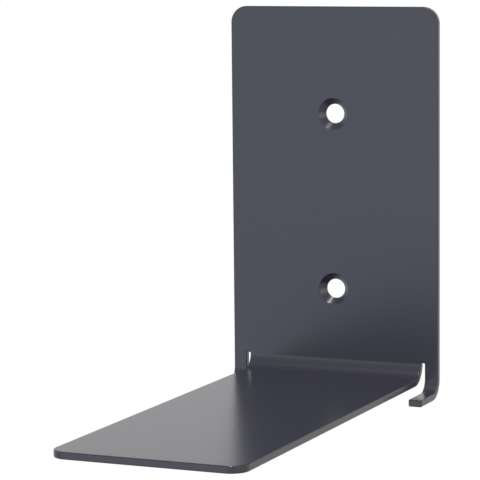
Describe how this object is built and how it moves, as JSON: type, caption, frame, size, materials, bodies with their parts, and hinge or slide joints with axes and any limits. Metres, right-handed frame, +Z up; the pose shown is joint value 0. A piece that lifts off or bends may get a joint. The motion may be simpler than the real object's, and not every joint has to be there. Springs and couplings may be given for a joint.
{
  "type": "invisible bookshelf bracket",
  "caption": "Folded steel wall bracket that a pile of books hides: screwed back plate, broad tongue, and narrow hooks that hold the lowest cover.",
  "frame": {"origin": "middle of the two screw holes, on the back plate's rear face, which lies on the wall", "axes": "+X to the right as seen from the room, +Y into the wall, +Z up; the tongue points along -Y"},
  "size_m": [0.08, 0.1625, 0.1406],
  "materials": {
    "coat": "satin anthracite coat with a fine even grain, over folded steel"
  },
  "bodies": {
    "root": {"shelf_bracket": "coat"}
  },
  "joints": []
}
